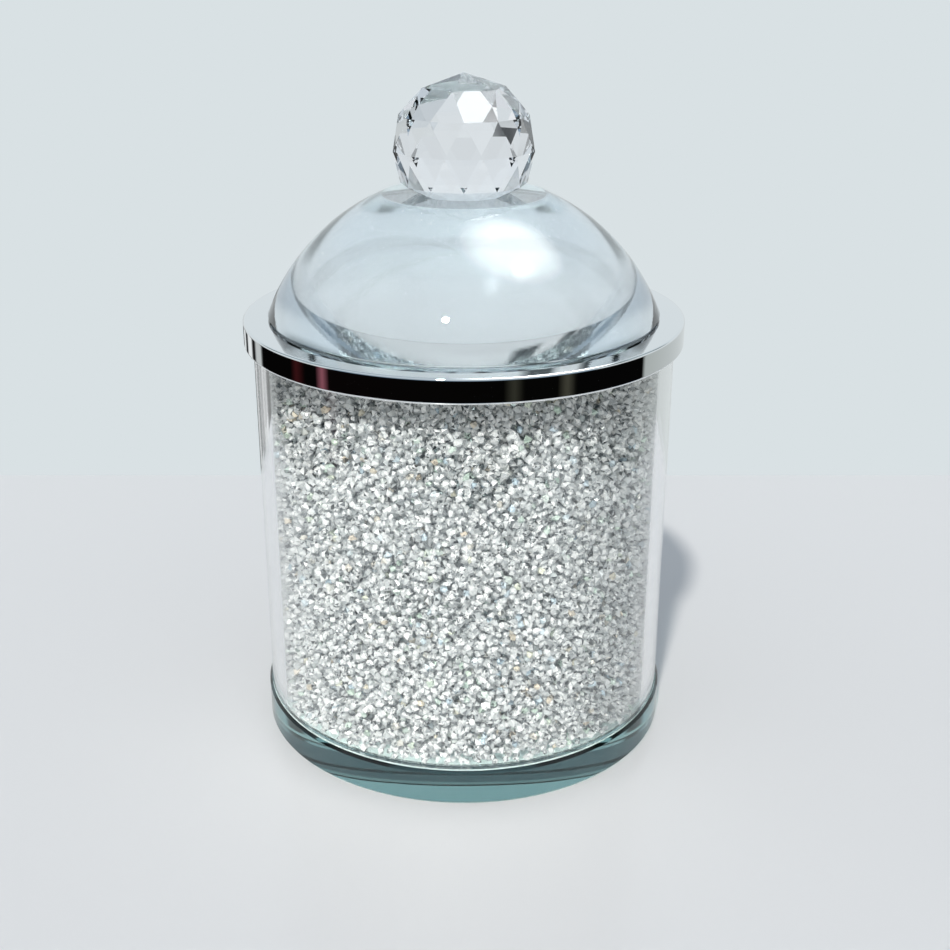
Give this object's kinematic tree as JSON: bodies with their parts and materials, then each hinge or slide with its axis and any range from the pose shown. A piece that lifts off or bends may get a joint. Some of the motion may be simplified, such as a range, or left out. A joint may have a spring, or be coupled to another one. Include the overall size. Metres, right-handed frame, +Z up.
{
  "type": "powder jar",
  "caption": "Round double-walled glass powder jar with crystal chips between its walls, a polished rim ring and a domed glass lid with a faceted ball knob.",
  "frame": {"origin": "centre of the base disc's underside, on the surface the jar stands on", "axes": "+Z up along the jar's axis, from the base through the knob; +X and +Y lie in the standing surface, and -Y is the front"},
  "size_m": [0.099, 0.099, 0.1511],
  "materials": {
    "base_glass": "polished float glass with a green edge tint",
    "tube_glass": "clear drawn glass",
    "liner_glass": "clear drawn glass",
    "crystal_chips": "loose crushed glass chips, sparkling",
    "polished_metal": "mirror polished",
    "silicone": "translucent moulded silicone",
    "plug_glass": "polished clear glass",
    "dome_glass": "polished solid glass with a faint green tint",
    "knob_crystal": "machine-cut faceted lead-free crystal"
  },
  "bodies": {
    "jar": {"base_disc": "base_glass", "outer_tube": "tube_glass", "inner_tube": "liner_glass", "crystal_filling": "crystal_chips", "rim_ring": "polished_metal"},
    "seal": {"lid_seal": "silicone"},
    "lid": {"locating_plug": "plug_glass", "lid_dome": "dome_glass", "knob": "knob_crystal"}
  },
  "joints": [
    {"name": "lid_lift", "type": "slide", "parent": "jar", "child": "seal", "axis": [0, 0, 1], "range_m": [0, 0.06]},
    {"name": "lid_turn", "type": "hinge", "parent": "seal", "child": "lid", "pos_m": [0, 0, 0.09905], "axis": [0, 0, 1], "continuous": true}
  ]
}
